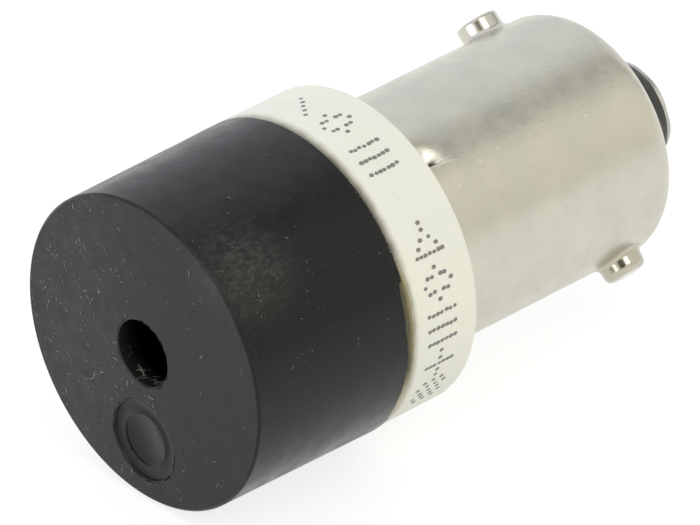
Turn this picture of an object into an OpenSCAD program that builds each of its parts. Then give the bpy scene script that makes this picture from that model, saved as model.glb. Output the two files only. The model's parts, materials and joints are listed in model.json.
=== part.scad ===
// Panel mount buzzer: a sounding head on a miniature bayonet cap.
// Each piece is drawn round its own axis, with z towards the sounding face and z = 0 on the collar's
// rear face. The finished pieces are then laid level, so the face looks along -Y and +Z is up.

/* [Bayonet cap] */
// Outside diameter of the shell
shell_d = 9.2; // [8.9:0.05:9.6]
// Length of the shell that shows behind the collar
shell_len = 11.15; // [10.4:0.05:13]
// Thickness of the drawn shell
shell_wall = 0.35; // [0.25:0.05:0.45]
// Outside radius of the rounded end
shell_end_r = 0.9; // [0.6:0.05:1.2]
// Width of the lip that is turned in at the end
lip_w = 1.3; // [1.1:0.05:1.6]
// Depth of the shell's mouth in the collar
rim_rebate = 0.3; // [0.1:0.05:0.6]

/* [Bayonet studs] */
// Diameter of a stud
stud_d = 1.6; // [1.5:0.05:1.9]
// Height of a stud over the shell
stud_rise = 0.65; // [0.55:0.05:0.9]
// Distance from the studs' axis to the end of the shell
stud_back = 1.8; // [1.6:0.05:2.4]
// Angle of the first stud from upright, turning left as the face is seen
stud_angle = 48; // [0:1:90]
// Radius of a stud's tip
stud_tip_r = 0.15; // [0.1:0.05:0.3]
// Width and height of the flare at a stud's foot
stud_flare = 0.18; // [0.05:0.01:0.2]
// Diameter of a stud's tenon through the shell
tenon_d = 1.1; // [0.8:0.05:1.3]
// Diameter of the riveted head inside the shell
rivet_d = 1.5; // [1.3:0.05:1.7]
// Thickness of the riveted head
rivet_t = 0.3; // [0.2:0.05:0.5]

/* [Stakes] */
// Number of punched stakes that lock the shell to the collar
stake_count = 3; // [2:1:4]
// Angle of the first stake, from the right as the face is seen
stake_angle = 59; // [0:1:119]
// Length of the punch mark behind the collar
stake_len = 2.4; // [1.8:0.05:2.8]
// Half width of the punch mark at the shell's mouth
stake_r = 0.5; // [0.4:0.05:0.6]
// Height of the punch's axis over the shell
stake_lift = 0.08; // [0.04:0.01:0.12]

/* [Contact end] */
// Height of the insulator behind the shell's end
insulator_rise = 2; // [1.4:0.05:2.4]
// Diameter of the insulator's cone at the shell's end
insulator_base_d = 5.8; // [5.6:0.05:6.2]
// Diameter of the insulator's outer face
insulator_top_d = 4.1; // [3.9:0.05:5.4]
// Height of the insulator's hub inside the shell
insulator_hub = 1.9; // [1.7:0.05:2.6]
// Distance of the contact's edge from the edge of the insulator's outer face
contact_set = 0.15; // [0.05:0.05:0.3]
// Thickness of the contact's flange
contact_t = 0.3; // [0.1:0.05:0.4]
// Wall of the contact's eyelet
eyelet_wall = 0.2; // [0.15:0.05:0.3]
// Length of the eyelet in the insulator
eyelet_len = 2.2; // [1.5:0.1:3]
// Distance of the solder's edge from the contact's edge
solder_set = 0.15; // [0.05:0.05:0.3]
// Height of the solder
solder_rise = 0.35; // [0.3:0.05:0.6]
// Diameter of the solder's worn flat
solder_flat_d = 2.4; // [1.8:0.1:3]

/* [Collar] */
// How far the collar's edge lies inside the edge of the head
collar_step = 0.025; // [0:0.005:0.1]
// Length of the collar
collar_len = 3; // [2.5:0.05:4]
// Radius of the collar's front edge
collar_round = 0.35; // [0.2:0.05:0.5]
// Length of the collar's spigot in the shell
spigot_len = 3.2; // [2.9:0.1:3.8]
// Bevel that leads the spigot into the shell
spigot_lead = 0.3; // [0.1:0.05:0.4]
// Room for a terminal pin beside the collar's bore
pin_clear = 0.35; // [0.2:0.05:0.4]

/* [Adhesive] */
// Thickness of the adhesive between head and collar
glue_t = 0.12; // [0.08:0.02:0.2]
// Distance of the adhesive's edge from the collar's edge, before it was squeezed out
glue_set = 0.2; // [0.18:0.01:0.3]
// How far the adhesive was squeezed out to one side
glue_shift = 0.14; // [0:0.02:0.16]
// Direction in which it was squeezed out
glue_angle = -10; // [-180:5:180]

/* [Sounding head] */
// Diameter of the case at the collar
head_d = 11.9; // [11.7:0.05:12.3]
// How much the case's radius tapers towards the sounding face
head_draft = 0.1; // [0:0.01:0.15]
// Length of the case
head_len = 7.02; // [6.8:0.02:8.5]
// Thickness of the case's side at the collar
head_wall = 0.75; // [0.6:0.05:0.85]
// Thickness of the sounding face
face_wall = 0.9; // [0.6:0.05:1.2]
// Width of the bevel round the sounding face
face_bevel = 0.08; // [0.04:0.01:0.2]
// Diameter of the sound hole
sound_hole_d = 2.5; // [1.5:0.1:3]
// Diameter of the round spot below the sound hole
spot_d = 3; // [2:0.1:3.4]
// Depth of that spot
spot_depth = 0.15; // [0.05:0.05:0.3]
// How far the head sits off the collar's axis
head_shift = 0.03; // [0:0.01:0.2]
// Direction in which the head sits off the axis
head_shift_angle = -49; // [-180:1:180]

/* [Sounder] */
// Thickness of the potting behind the driver board
seal_t = 1.4; // [1.3:0.05:1.6]
// Thickness of the driver board
driver_t = 0.5; // [0.4:0.05:0.8]
// Thickness of the yoke plate
yoke_t = 0.6; // [0.4:0.05:0.8]
// Thickness of the ring magnet
magnet_t = 1.35; // [1:0.05:1.6]
// Width of the ring magnet's section
magnet_w = 1.2; // [1:0.05:1.5]
// Length of the coil
coil_len = 1.55; // [1.2:0.05:1.8]
// Thickness of the coil's winding
coil_w = 1.05; // [0.8:0.05:1.3]
// Room between the coil and the magnet
coil_clear = 0.2; // [0.1:0.05:0.4]
// Diameter of the pole
pole_d = 2; // [1.6:0.1:2.2]
// Diameter of the pole's tenon in the yoke plate
pole_tenon_d = 1.3; // [1:0.1:1.5]
// Height of the pole over the coil
pole_proud = 0.2; // [0.1:0.05:0.4]
// Gap between the pole and the diaphragm
air_gap = 0.25; // [0.15:0.05:0.4]
// Thickness of the diaphragm
diaphragm_t = 0.08; // [0.06:0.01:0.15]
// Diameter of the armature disc
armature_d = 4; // [3:0.1:5]
// Thickness of the armature disc
armature_t = 0.32; // [0.2:0.02:0.4]
// Wall of the ring under the diaphragm
support_wall = 0.65; // [0.5:0.05:0.8]
// Width of the case's shoulder over the diaphragm
shoulder_w = 0.45; // [0.3:0.05:0.6]
// Diameter of a terminal pin
pin_d = 0.6; // [0.5:0.05:0.7]
// Distance between the terminal pins
pin_pitch = 5; // [4.6:0.1:5.2]
// Length of a terminal pin
pin_len = 6; // [5:0.1:6.4]
// Depth of a pin's end under the driver board's front
pin_set = 0.1; // [0.05:0.05:0.2]
// Length of the transistor's body
transistor_len = 2.9; // [2.5:0.1:3.1]
// Width of the transistor's body
transistor_w = 1.3; // [1.1:0.1:1.6]
// Height of the transistor over its board
transistor_h = 1; // [0.8:0.05:1.1]
// Width over the transistor's leads
transistor_span = 2.4; // [2.2:0.1:2.6]
// Distance of the transistor's leads from the edge of the board
transistor_edge = 1.6; // [0.8:0.1:1.8]

/* [Cap board] */
// Thickness of the rectifier board
board_t = 0.8; // [0.6:0.1:1]
// Distance of the board's front end from the collar's front
board_set = 0.6; // [0.4:0.1:1]
// Gap between the board's rear end and the insulator
board_end_gap = 0.9; // [0.5:0.1:1.5]
// Gap between the collar's spigot and the rectifier
rectifier_gap = 0.5; // [0.3:0.1:0.8]
// Width of the rectifier across the board
rectifier_w = 3; // [2.4:0.1:3.6]
// Length of the rectifier along the board
rectifier_len = 2.6; // [2:0.1:3]
// Height of the rectifier over the board
rectifier_h = 1.4; // [1.2:0.1:1.8]
// Width of the rectifier's tabs
rectifier_tab_w = 1; // [0.6:0.1:1.1]
// Thickness of the leads of the transistor and the rectifier
lead_t = 0.15; // [0.1:0.01:0.2]
// Diameter of the resistor's body
resistor_d = 1.8; // [1.4:0.1:2]
// Length of the resistor's body
resistor_len = 3.6; // [3:0.1:4]
// Reach of the resistor's leads beyond its body
resistor_reach = 0.7; // [0.5:0.1:1]
// Height of the resistor's end caps over its body
resistor_cap = 0.1; // [0.05:0.05:0.2]
// Diameter of the wires
wire_d = 0.5; // [0.4:0.05:0.6]
// Length of the contact's wire on the board
wire_lap = 0.9; // [0.6:0.1:1.2]
// Radius of the solder at the shell
shell_solder_r = 0.55; // [0.4:0.05:0.6]

/* [Hidden] */
$fn = 64;
// Clearance between pieces that fit closely
fit_gap = 0.02;
// Clearance between pieces that slide in
slide_gap = 0.1;
// Length by which a cut passes the face that it opens
over = 0.5;
// Steps in a small rounded edge
round_steps = 8;

shell_r = shell_d/2;
shell_in_r = shell_r - shell_wall;
shell_end_z = -shell_len;
lip_r = shell_r - lip_w;
end_in_r = shell_end_r - shell_wall;
stud_z = shell_end_z + stud_back;
stud_r = stud_d/2;
stud_tip = shell_r + stud_rise;
stud_angles = [90 + stud_angle, 270 + stud_angle];
stake_step = 360/stake_count;

insulator_end_z = shell_end_z - insulator_rise;
flange_z = stud_z - rivet_d/2 - slide_gap;
hub_z = shell_end_z + shell_wall + insulator_hub;
hub_r = shell_in_r - rivet_t - slide_gap;
contact_r = insulator_top_d/2 - contact_set;
solder_r = contact_r - solder_set;
contact_z = insulator_end_z - contact_t;
solder_z = contact_z - solder_rise;

head_r = head_d/2;
face_r = head_r - head_draft;
collar_r = head_r - collar_step;
glue_r = collar_r - glue_set;
collar_bore_r = pin_pitch/2 + pin_d/2 + head_shift + pin_clear;
spigot_r = shell_in_r - fit_gap;
rebate_r = shell_r + fit_gap;

head_x = head_shift*cos(head_shift_angle);
head_y = head_shift*sin(head_shift_angle);
head_z = collar_len + glue_t;
face_z = head_z + head_len;
head_bore_r = head_r - head_wall;
// The spot lies midway between the sound hole and the rim of the face
spot_offset = (sound_hole_d/2 + face_r)/2;
inner_r = head_bore_r - fit_gap;
driver_z = head_z + seal_t;
yoke_z = driver_z + driver_t;
magnet_z = yoke_z + yoke_t;
pole_z = magnet_z + coil_len + pole_proud;
diaphragm_z = pole_z + air_gap;
shoulder_z = diaphragm_z + diaphragm_t + fit_gap;
cavity_z = face_z - face_wall;
support_in_r = inner_r - support_wall;
coil_in_r = pole_d/2 + fit_gap;
coil_r = coil_in_r + coil_w;
magnet_in_r = coil_r + coil_clear;
yoke_r = magnet_in_r + magnet_w;
pin_hole_r = pin_d/2 + fit_gap;
transistor_offset = inner_r - transistor_edge - transistor_span/2;

board_top = head_y - pin_d/2;
board_low = board_top - board_t;
board_reach = max(abs(board_top), abs(board_low));
board_half_w = sqrt(pow(collar_bore_r - slide_gap, 2) - pow(board_reach, 2));
board_front_z = collar_len - board_set;
board_rear_z = hub_z + board_end_gap;
rectifier_z = -spigot_len - rectifier_gap;
wire_r = wire_d/2;
wire_y = board_top + wire_r;
wire_front_z = board_rear_z + wire_lap;
shell_wire_z = rectifier_z - rectifier_len/2;
resistor_r = resistor_d/2 + resistor_cap;
resistor_y = board_top + resistor_r;
resistor_half = resistor_len/2 + resistor_reach;
resistor_z = wire_front_z + slide_gap + wire_r + resistor_half;
eyelet_in_r = abs(wire_y) + wire_r + slide_gap;
eyelet_r = eyelet_in_r + eyelet_wall;

// Points on an arc round a centre, from one angle to another
function arc(centre, r, from, to) =
    [for (i = [0:round_steps])
        let (a = from + (to - from)*i/round_steps) centre + r*[cos(a), sin(a)]];

// Lays a finished piece level, with the sounding face towards -Y
module level() {
    rotate([90, 0, 0]) children();
}

// Puts a piece of the head on the head's own axis
module on_head() {
    translate([head_x, head_y, 0]) children();
}

// A plain ring or, with no inner radius, a disc
module ring(z, height, outer_r, inner_r = 0) {
    translate([0, 0, z]) difference() {
        cylinder(h = height, r = outer_r);
        if (inner_r > 0)
            translate([0, 0, -over]) cylinder(h = height + 2*over, r = inner_r);
    }
}

// A block given by its middle in x, and its lower corner in y and z
module block(x, y, z, width, height, length) {
    translate([x - width/2, y, z]) cube([width, height, length]);
}

// Repeats its children at both terminal pins
module at_pins() {
    for (side = [-1, 1])
        translate([side*pin_pitch/2, 0, 0]) children();
}

// Half section of a cup that is closed below with a rounded corner
module rounded_cup_2d(r, bottom, top, corner) {
    translate([0, bottom]) square([r - corner, top - bottom]);
    translate([0, bottom + corner]) square([r, top - bottom - corner]);
    translate([r - corner, bottom + corner]) circle(corner);
}

// The stakes as cones along the shell, grown by an amount to leave a wall or a clearance
module stakes(grow) {
    slope = stake_r/stake_len;
    for (i = [0:stake_count - 1])
        rotate([0, 0, stake_angle + i*stake_step])
            translate([shell_r + stake_lift, 0, -stake_len - grow/slope])
                cylinder(
                    h = stake_len + grow/slope + rim_rebate,
                    r1 = 0,
                    r2 = stake_r + grow + slope*rim_rebate
                );
}

// Outer form of the collar, shared with the adhesive that lies on it
module collar_form() {
    rotate_extrude() polygon(concat(
        [[0, -spigot_len], [spigot_r - spigot_lead, -spigot_len]],
        [[spigot_r, -spigot_len + spigot_lead], [spigot_r, rim_rebate]],
        [[rebate_r, rim_rebate], [rebate_r, 0], [collar_r, 0]],
        arc([collar_r - collar_round, collar_len - collar_round], collar_round, 0, 90),
        [[0, collar_len]]
    ));
}

// Half section of a stud's outer body, along its own axis
module stud_2d() {
    foot = shell_r - over;
    difference() {
        union() {
            translate([0, foot]) square([stud_r, stud_tip - foot - stud_tip_r]);
            translate([0, foot]) square([stud_r - stud_tip_r, stud_tip - foot]);
            translate([stud_r - stud_tip_r, stud_tip - stud_tip_r]) circle(stud_tip_r);
            polygon([
                [0, foot], [stud_r + stud_flare, foot], [stud_r + stud_flare, shell_r],
                [stud_r, shell_r + stud_flare], [0, shell_r + stud_flare]
            ]);
        }
        translate([-stud_d, foot - over]) square([stud_d, stud_tip]);
    }
}

// A bayonet stud with its tenon and its riveted head, at one angle round the shell
module stud(angle) {
    color("gainsboro") level() rotate([0, 0, angle]) translate([0, 0, stud_z]) {
        difference() {
            rotate([0, 90, 0]) rotate_extrude() stud_2d();
            translate([0, 0, -stud_d]) cylinder(h = 2*stud_d, r = shell_r);
        }
        rotate([0, 90, 0])
            translate([0, 0, shell_in_r - rivet_t/2])
                cylinder(h = shell_wall + rivet_t/2 + stud_flare, d = tenon_d);
        intersection() {
            rotate([0, 90, 0])
                translate([0, 0, shell_in_r - rivet_t]) cylinder(h = 2*rivet_t, d = rivet_d);
            translate([0, 0, -rivet_d]) cylinder(h = 2*rivet_d, r = shell_in_r);
        }
    }
}

module buzzer_case() {
    color([0.13, 0.13, 0.13]) level() on_head() difference() {
        rotate_extrude() polygon([
            [0, head_z], [head_r, head_z], [face_r, face_z - face_bevel],
            [face_r - face_bevel, face_z], [0, face_z]
        ]);
        ring(head_z - over, shoulder_z - head_z + over, head_bore_r);
        ring(head_z, cavity_z - head_z, head_bore_r - shoulder_w);
        ring(cavity_z - over, face_wall + 2*over, sound_hole_d/2);
        translate([0, -spot_offset, face_z - spot_depth])
            cylinder(h = spot_depth + over, d = spot_d);
    }
}

module diaphragm() {
    color([0.16, 0.16, 0.17]) level() on_head() ring(diaphragm_z, diaphragm_t, inner_r);
}

module armature_disc() {
    color([0.2, 0.2, 0.21]) level() on_head()
        ring(diaphragm_z + diaphragm_t, armature_t, armature_d/2);
}

module support_ring() {
    color("dimgray") level() on_head()
        ring(yoke_z, diaphragm_z - yoke_z, inner_r, support_in_r);
}

module ring_magnet() {
    color([0.25, 0.25, 0.26]) level() on_head() ring(magnet_z, magnet_t, yoke_r, magnet_in_r);
}

module coil_winding() {
    color("peru") level() on_head() ring(magnet_z, coil_len, coil_r, coil_in_r);
}

module pole_core() {
    color("slategray") level() on_head() {
        ring(magnet_z, pole_z - magnet_z, pole_d/2);
        ring(yoke_z, yoke_t, pole_tenon_d/2);
    }
}

module yoke_plate() {
    color("lightslategray") level() on_head()
        ring(yoke_z, yoke_t, yoke_r, pole_tenon_d/2 + fit_gap);
}

module driver_board() {
    color("darkgreen") level() on_head() difference() {
        ring(driver_z, driver_t, inner_r);
        at_pins() ring(driver_z - over, driver_t + 2*over, pin_hole_r);
    }
}

module transistor() {
    lead_w = transistor_len/6;
    // Sideways place and side of each lead: two on one edge, one on the other
    leads = [[-1, -1], [1, -1], [0, 1]];
    color([0.15, 0.15, 0.16]) level() on_head() translate([0, transistor_offset, driver_z]) {
        block(0, -transistor_w/2, -transistor_h, transistor_len, transistor_w, transistor_h - lead_t);
        for (lead = leads)
            translate([lead[0]*transistor_len/3, 0, 0])
                scale([1, lead[1], 1])
                    block(0, 0, -2*lead_t, lead_w, transistor_span/2, 2*lead_t);
    }
}

module terminal_pins() {
    color("silver") level() on_head() at_pins() ring(yoke_z - pin_set - pin_len, pin_len, pin_d/2);
}

module base_seal() {
    pocket_w = transistor_len + 2*fit_gap;
    pocket_h = transistor_span + 2*fit_gap;
    pocket_depth = transistor_h + fit_gap;
    color([0.1, 0.1, 0.11]) level() on_head() difference() {
        ring(head_z, seal_t, inner_r);
        at_pins() ring(head_z - over, seal_t + 2*over, pin_hole_r);
        translate([0, transistor_offset, 0])
            block(0, -pocket_h/2, driver_z - pocket_depth, pocket_w, pocket_h, pocket_depth + over);
    }
}

module adhesive_bead() {
    color([0.5, 0.46, 0.33]) level() difference() {
        rotate([0, 0, glue_angle]) translate([glue_shift, 0, 0])
            ring(collar_len - collar_round, collar_round + glue_t, glue_r);
        collar_form();
        translate([0, 0, collar_len - over]) cylinder(h = glue_t + 2*over, r = collar_bore_r);
    }
}

module collar() {
    color([0.91, 0.91, 0.87]) level() difference() {
        collar_form();
        ring(-spigot_len - over, spigot_len + collar_len + 2*over, collar_bore_r);
        intersection() {
            stakes(shell_wall + fit_gap);
            ring(-spigot_len - over, spigot_len + over + rim_rebate, shell_r);
        }
    }
}

module rectifier_board() {
    color("darkgreen") level()
        block(0, board_low, board_rear_z, 2*board_half_w, board_t, board_front_z - board_rear_z);
}

module rectifier() {
    color([0.15, 0.15, 0.16]) level() translate([0, board_low, rectifier_z - rectifier_len]) {
        block(0, -rectifier_h, 0, rectifier_w, rectifier_h - lead_t, rectifier_len);
        for (side = [-1, 1])
            block(
                side*(rectifier_w - rectifier_tab_w)/2, -2*lead_t, (rectifier_len - rectifier_tab_w)/2,
                rectifier_tab_w, 2*lead_t, rectifier_tab_w
            );
    }
}

module series_resistor() {
    cap_len = resistor_len/5;
    color("tan") level() translate([0, resistor_y, resistor_z]) {
        ring(-resistor_len/2, resistor_len, resistor_d/2);
        for (side = [-1, 1]) {
            ring(side*(resistor_len - cap_len)/2 - cap_len/2, cap_len, resistor_r);
            translate([0, 0, side*resistor_half]) {
                sphere(wire_r);
                rotate([90, 0, 0]) cylinder(h = resistor_r, r = wire_r);
            }
        }
        ring(-resistor_half, 2*resistor_half, wire_r);
    }
}

module contact_lead() {
    color("sandybrown") level() translate([0, wire_y, 0])
        ring(contact_z, wire_front_z - contact_z, wire_r);
}

module shell_lead() {
    color("silver") level() intersection() {
        translate([0, board_top, shell_wire_z]) {
            translate([resistor_r + slide_gap, wire_r, 0])
                rotate([0, 90, 0]) cylinder(h = shell_in_r, r = wire_r);
            translate([shell_in_r - shell_solder_r/2, shell_solder_r, 0]) sphere(shell_solder_r);
        }
        ring(shell_wire_z - shell_solder_r, 2*shell_solder_r, shell_in_r - fit_gap);
    }
}

module cap_shell() {
    color([0.78, 0.77, 0.73]) level() difference() {
        union() {
            rotate_extrude() difference() {
                rounded_cup_2d(shell_r, shell_end_z, rim_rebate, shell_end_r);
                rounded_cup_2d(shell_in_r, shell_end_z + shell_wall, rim_rebate + over, end_in_r);
                translate([-over, shell_end_z - over]) square([lip_r + over, shell_wall + 2*over]);
                translate([-shell_d, shell_end_z - over]) square([shell_d, shell_len + 3*over]);
            }
            intersection() {
                stakes(shell_wall);
                ring(-spigot_len, spigot_len + rim_rebate, shell_r - shell_wall/2);
            }
        }
        stakes(0);
        for (angle = stud_angles)
            rotate([0, 0, angle]) translate([0, 0, stud_z])
                rotate([0, 90, 0]) cylinder(h = stud_tip, d = tenon_d + 2*fit_gap);
    }
}

module bayonet_stud_a() {
    stud(stud_angles[0]);
}

module bayonet_stud_b() {
    stud(stud_angles[1]);
}

module insulator() {
    hole_r = eyelet_r + fit_gap;
    floor_z = shell_end_z + shell_wall + fit_gap;
    color([0.12, 0.11, 0.09]) level() difference() {
        rotate_extrude() difference() {
            union() {
                polygon([
                    [0, insulator_end_z], [insulator_top_d/2, insulator_end_z],
                    [insulator_base_d/2, shell_end_z], [lip_r - fit_gap, shell_end_z],
                    [lip_r - fit_gap, hub_z], [0, hub_z]
                ]);
                rounded_cup_2d(shell_in_r - fit_gap, floor_z, hub_z, end_in_r - fit_gap);
            }
            translate([hub_r, flange_z]) square([shell_in_r, hub_z - flange_z + over]);
        }
        ring(insulator_end_z - over, hub_z - insulator_end_z + 2*over, hole_r);
    }
}

module centre_contact() {
    color("lightgray") level() difference() {
        union() {
            ring(contact_z, contact_t, contact_r);
            ring(contact_z, contact_t + eyelet_len, eyelet_r);
        }
        ring(contact_z - over, contact_t + eyelet_len + 2*over, eyelet_in_r);
    }
}

module contact_solder() {
    dome_w = solder_r - solder_flat_d/2;
    dome = [for (point = arc([0, 0], 1, 0, -90))
        [solder_flat_d/2 + dome_w*point[0], contact_z + solder_rise*point[1]]];
    color("silver") level() rotate_extrude() polygon(concat([[0, contact_z]], dome, [[0, solder_z]]));
}

buzzer_case();
diaphragm();
armature_disc();
support_ring();
ring_magnet();
coil_winding();
pole_core();
yoke_plate();
driver_board();
transistor();
terminal_pins();
base_seal();
adhesive_bead();
collar();
rectifier_board();
rectifier();
series_resistor();
contact_lead();
shell_lead();
cap_shell();
bayonet_stud_a();
bayonet_stud_b();
insulator();
centre_contact();
contact_solder();
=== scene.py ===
"""A panel mount buzzer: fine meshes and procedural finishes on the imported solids.

Shapes are worked out in millimetres and scaled to metres when a piece is made.
An angle round the part's axis runs from +Z, upright, towards +X.
"""

import json
import random
from math import acos, asin, cos, exp, hypot, pi, radians, sin, sqrt, tan, tanh

import bmesh
import bpy
import numpy as np
from mathutils import Matrix, Vector, geometry, noise


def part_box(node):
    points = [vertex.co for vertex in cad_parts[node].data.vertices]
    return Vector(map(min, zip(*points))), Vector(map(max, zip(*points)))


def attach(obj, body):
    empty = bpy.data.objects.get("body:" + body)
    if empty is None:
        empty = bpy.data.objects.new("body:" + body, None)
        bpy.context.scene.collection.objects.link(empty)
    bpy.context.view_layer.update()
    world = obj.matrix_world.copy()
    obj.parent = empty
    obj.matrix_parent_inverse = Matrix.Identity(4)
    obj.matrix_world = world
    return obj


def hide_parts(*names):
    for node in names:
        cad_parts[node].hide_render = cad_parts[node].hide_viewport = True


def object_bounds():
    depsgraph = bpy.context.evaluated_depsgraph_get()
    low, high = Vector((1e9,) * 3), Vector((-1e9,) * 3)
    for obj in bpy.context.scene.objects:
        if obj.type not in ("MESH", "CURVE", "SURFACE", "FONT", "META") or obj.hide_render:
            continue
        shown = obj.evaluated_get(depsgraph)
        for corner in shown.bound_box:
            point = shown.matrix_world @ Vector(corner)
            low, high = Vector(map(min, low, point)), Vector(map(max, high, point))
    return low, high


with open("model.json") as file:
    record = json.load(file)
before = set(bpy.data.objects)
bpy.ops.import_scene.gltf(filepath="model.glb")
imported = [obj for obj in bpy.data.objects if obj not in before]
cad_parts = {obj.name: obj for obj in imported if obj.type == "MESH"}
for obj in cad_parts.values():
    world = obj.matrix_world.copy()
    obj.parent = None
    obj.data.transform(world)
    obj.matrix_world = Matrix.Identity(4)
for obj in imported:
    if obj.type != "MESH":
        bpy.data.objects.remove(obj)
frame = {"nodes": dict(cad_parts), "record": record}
cad_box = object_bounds()

MM = 0.001


def turned_box(node):
    """Radius, front end, rear end and middle of a turned solid, in millimetres."""
    low, high = (np.array(corner)/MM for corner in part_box(node))
    middle = (low + high)/2
    return (high[0] - low[0])/2, low[1], high[1], (middle[0], middle[2])


# Sizes read from the solids
head_r, face_y, head_rear_y, head_axis = turned_box("buzzer_case")
collar_r, collar_front_y, spigot_y, _ = turned_box("collar")
shell_r, mouth_y, shell_end_y, _ = turned_box("cap_shell")
_, hub_y, glass_end_y, _ = turned_box("insulator")
contact_r, _, contact_y, _ = turned_box("centre_contact")
solder_r, _, solder_y, _ = turned_box("contact_solder")
_, diaphragm_y, _, _ = turned_box("diaphragm")

# Sizes of the head
HEAD_DRAFT = 0.1
HEAD_WALL = 0.75
FACE_WALL = 0.9
FACE_BEVEL = 0.08
FACE_GUARD = 0.04
FACE_ROUND, SIDE_ROUND, REAR_ROUND = 0.02, 0.03, 0.04
SHOULDER_W = 0.45
HOLE_R = 1.25
HOLE_EDGE = 0.025
SPOT_R = 1.5
SPOT_DEPTH = 0.15
SPOT_EDGE = 0.035
SPOT_DRAFT, SPOT_ROUND = 0.01, 0.03
WITNESS_R = 0.95
WITNESS_DEPTH = 0.02
WITNESS_TOP, WITNESS_OUT, WITNESS_IN = 0.01, 0.03, 0.04
face_r = head_r - HEAD_DRAFT
spot_drop = (HOLE_R + face_r)/2

# Sizes of the collar and the glue
COLLAR_ROUND = 0.35
COLLAR_EDGE = 0.05
COLLAR_RIPPLE = 0.006
BORE_R = 3.18
SPIGOT_R = 4.23
SPIGOT_LEAD = 0.3
FIT = 0.02
REBATE_R = shell_r + FIT
GLUE_FROM, GLUE_TO = 54, 138
GLUE_FADE = 11
GLUE_LAP = 0.21
GLUE_BED = 0.01
GLUE_SUNK = 0.04
GLUE_LEAST, GLUE_STAND = 0.02, 0.03
GLUE_REACH = 0.255
# The bead's height over the head's side, and its place from the lap's start or from the head's rear edge
LAP_SKIN = ((0.003, 0.0), (0.022, 0.07))
EDGE_SKIN = ((0.028, -0.03), (0.012, 0.09))

# Sizes of the bayonet cap
SHELL_WALL = 0.35
END_ROUND = 0.9
LIP_W = 1.3
LIP_OUT_ROUND, LIP_IN_ROUND = 0.14, 0.1
SHELL_RIPPLE = 0.0035
STAKE_ANGLES = (31, 151, 271)
STAKE_LEN = 2.15
STAKE_DEPTH = 0.3
STAKE_SPREAD = 0.51
CREASE_LEAD = 1.5
CREASE_SET, CREASE_SHARP = 0.02, 0.025
PIT_BACK, PIT_END = 0.16, 0.98
BURR_H, BURR_SET, BURR_W = 0.02, 0.07, 0.035
BURR_FADE = (STAKE_LEN + 0.1, STAKE_LEN - 0.5)
CAD_TIP_ROUND = 0.15
UPPER_TIP_ROUND, LOWER_TIP_ROUND = 0.13, 0.27
UPPER_TAPER, LOWER_TAPER = 0.0, 0.008
STUD_FLARE = 0.18
STUD_SUNK, STUD_LIFT = 0.05, 0.01
STUD_ROOT = 0.2
TIP_FLAT_R = 0.12
CONE_BASE_R = 2.9
CONE_TOP_R = 2.0
CONE_EDGE = 0.06
CONE_RIPPLE = 0.02
FLANGE_EASE = 0.05
END_SAG = 0.14
END_TRIM = 0.05
GLASS_HOLE_R = 0.64
HUB_R = 3.85
EYELET_R = 0.62
EYELET_LEN = 2.2
EYELET_WALL = 0.2
FLANGE_ROUND, FLANGE_FOOT = 0.07, 0.04
RIM_RIPPLE = 0.045
SOLDER_FLAT = 0.55
SOLDER_SUNK = 0.02
SOLDER_LUMPS, SOLDER_WRINKLES = 0.035, 0.012

# Photograph: camera round the part, with the picture's width in pixels
CAMERA_AZIMUTH = 46.70
CAMERA_ELEVATION = 32.26
CAMERA_DISTANCE = 335.3
CAMERA_TARGET = (0.04, -0.44, -0.54)
FOCAL_PX = 9667
IMAGE_W = 700
SENSOR_W = 36
CLIP_NEAR, CLIP_FAR = 0.01, 20

draw = random.Random(11)


# Meshes

def placed(name, data):
    """A new object in the scene."""
    obj = bpy.data.objects.new(name, data)
    bpy.context.scene.collection.objects.link(obj)
    return obj


class Builder:
    """Gathers points, in millimetres, and faces, and makes a piece of them."""

    def __init__(self):
        self.points = []
        self.faces = []

    def add(self, points):
        first = len(self.points)
        self.points.extend(tuple(float(c) for c in p) for p in points)
        return list(range(first, len(self.points)))

    def bridge(self, ring_a, ring_b):
        count = len(ring_a)
        for i in range(count):
            j = (i + 1) % count
            self.faces.append((ring_a[i], ring_a[j], ring_b[j], ring_b[i]))

    def join(self, rings):
        for ring_a, ring_b in zip(rings, rings[1:]):
            self.bridge(ring_a, ring_b)

    def cap(self, ring, point):
        tip = self.add([point])[0]
        for i, start in enumerate(ring):
            self.faces.append((start, ring[(i + 1) % len(ring)], tip))

    def piece(self, name, finish, replaces=(), flats=True, marks=None):
        """Makes the piece. Where it has flats, they keep their own normals beside small rounded edges.

        Marks are named values, one for each point, that the finish reads.
        """
        mesh = bpy.data.meshes.new(name)
        mesh.from_pydata(self.points, [], self.faces)
        for mark, values in (marks or {}).items():
            mesh.attributes.new(mark, "FLOAT", "POINT").data.foreach_set("value", values)
        work = bmesh.new()
        work.from_mesh(mesh)
        bmesh.ops.recalc_face_normals(work, faces=work.faces)
        work.to_mesh(mesh)
        work.free()
        mesh.transform(Matrix.Scale(MM, 4))
        mesh.polygons.foreach_set("use_smooth", [True]*len(mesh.polygons))
        mesh.materials.append(finish)
        obj = placed(name, mesh)
        if flats:
            obj.modifiers.new("flat_normals", "WEIGHTED_NORMAL")
        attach(obj, "root")
        if replaces:
            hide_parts(*replaces)


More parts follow.
